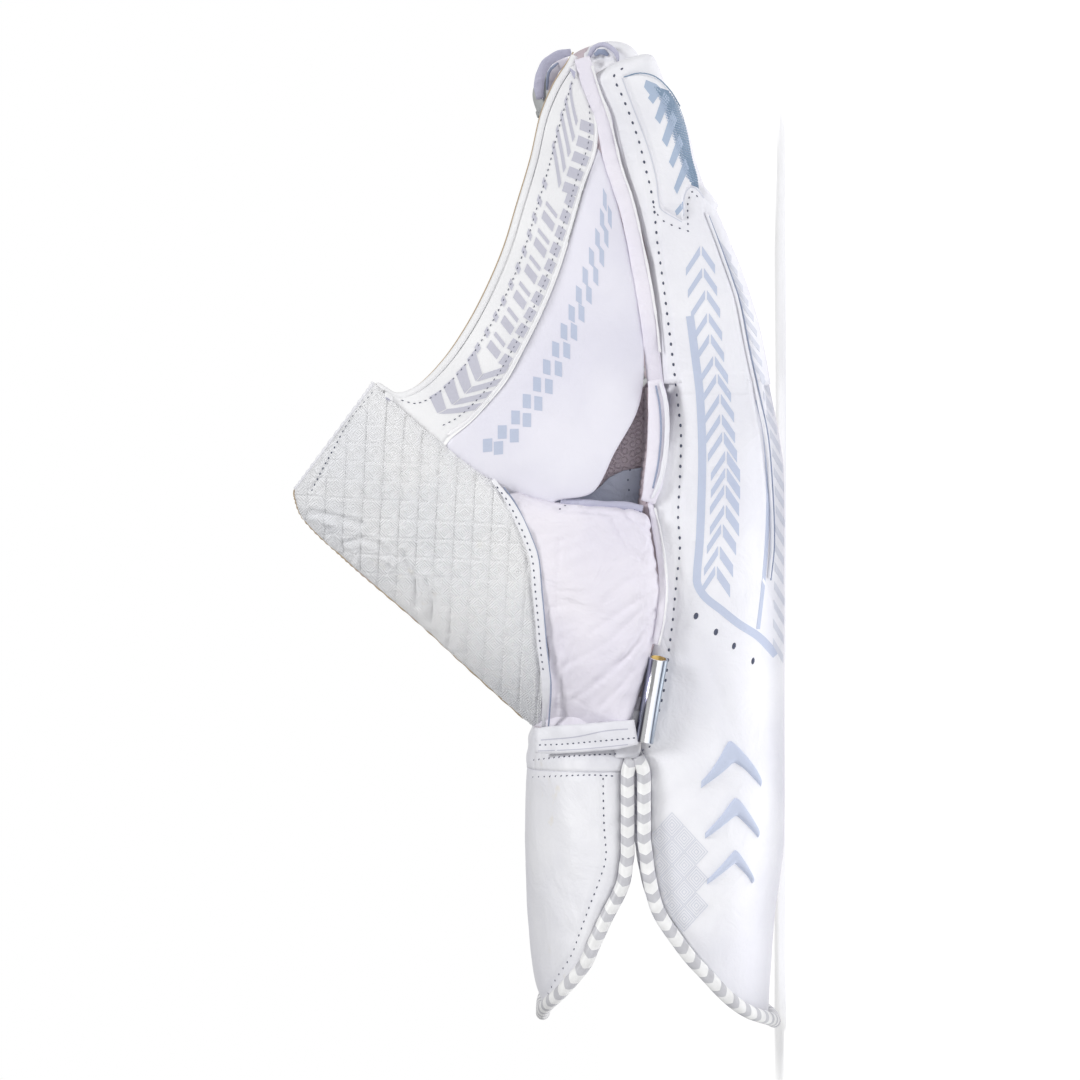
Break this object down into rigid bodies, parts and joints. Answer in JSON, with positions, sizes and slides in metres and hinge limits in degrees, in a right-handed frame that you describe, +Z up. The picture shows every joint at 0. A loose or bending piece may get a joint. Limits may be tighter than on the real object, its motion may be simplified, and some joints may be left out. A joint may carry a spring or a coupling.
{
  "type": "wicketkeeping glove",
  "caption": "Right-hand wicketkeeping glove in white leather with a rubber palm, a webbed thumb and a split flared cuff, lying on its back.",
  "frame": {"origin": "on the ground, at the middle of the area that the glove covers", "axes": "+X from the cuff to the fingertips, +Z up out of the palm, -Y towards the thumb and the catching web"},
  "size_m": [0.3298, 0.153, 0.162],
  "materials": {
    "leather": "satin",
    "rubber": "matte",
    "suede": "matte",
    "edging": "matte",
    "print": "satin",
    "metal": "polished"
  },
  "bodies": {
    "root": {"back_panel": "leather", "palm_cuff": "leather", "wrist_band": "leather", "palm_rubber": "rubber", "back_cuff_piping": "edging", "palm_cuff_piping": "edging", "thumb_back": "leather", "thumb_gusset": "leather", "thumb_face": "rubber", "crotch_gusset": "suede", "index_back": "leather", "index_face": "rubber", "middle_back": "leather", "middle_face": "rubber", "ring_back": "leather", "ring_face": "rubber", "little_back": "leather", "little_face": "rubber", "index_pad": "print", "web_panel": "leather", "web_band": "leather", "web_piping": "edging", "crotch_lip": "leather", "side_tube": "metal", "cuff_rib_1": "print", "cuff_rib_2": "print", "cuff_rib_3": "print"}
  },
  "joints": []
}
